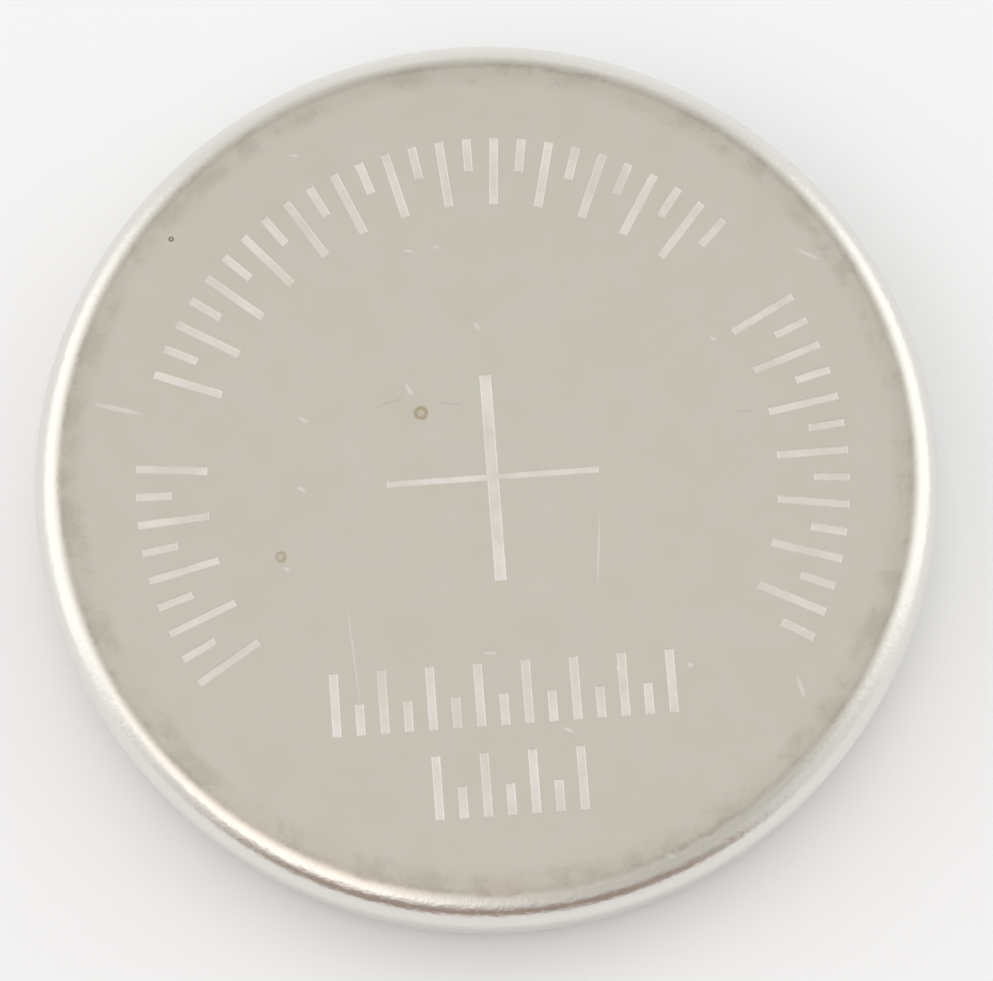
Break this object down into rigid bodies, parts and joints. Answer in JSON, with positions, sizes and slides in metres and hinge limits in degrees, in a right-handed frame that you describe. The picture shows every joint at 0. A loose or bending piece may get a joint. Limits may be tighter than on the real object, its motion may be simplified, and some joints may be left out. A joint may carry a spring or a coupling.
{
  "type": "coin cell",
  "caption": "Flat round rechargeable coin cell: a nickel-plated steel can crimped over a plastic gasket and a pressed cap, holding a stack of electrode plates",
  "frame": {"origin": "centre of the cap's outer face, which the cell rests on", "axes": "+Z is the cell's axis and points out of the positive face; +X points at the anode lead, and +Y at the top of the marks etched in the positive face"},
  "size_m": [0.02, 0.02, 0.0032],
  "materials": {
    "can_nickel": "satin nickel plate",
    "cap_nickel": "fine stippled nickel plate",
    "gasket_plastic": "moulded, matt",
    "film_amber": "clear amber film",
    "lead_nickel": "rolled strip",
    "lead_aluminium": "rolled strip",
    "anode_coating": "matt graphite coat on copper foil",
    "cathode_coating": "matt oxide coat on aluminium foil",
    "separator_film": "porous white film"
  },
  "bodies": {
    "root": {"positive_can": "can_nickel", "sealing_gasket": "gasket_plastic", "negative_cap": "cap_nickel", "insulating_film": "film_amber", "anode_lead": "lead_nickel", "cathode_lead": "lead_aluminium", "anode_plate_1": "anode_coating", "anode_plate_2": "anode_coating", "anode_plate_3": "anode_coating", "anode_plate_4": "anode_coating", "anode_plate_5": "anode_coating", "cathode_plate_1": "cathode_coating", "cathode_plate_2": "cathode_coating", "cathode_plate_3": "cathode_coating", "cathode_plate_4": "cathode_coating", "separator_1": "separator_film", "separator_2": "separator_film", "separator_3": "separator_film", "separator_4": "separator_film", "separator_5": "separator_film", "separator_6": "separator_film", "separator_7": "separator_film", "separator_8": "separator_film"}
  },
  "joints": []
}
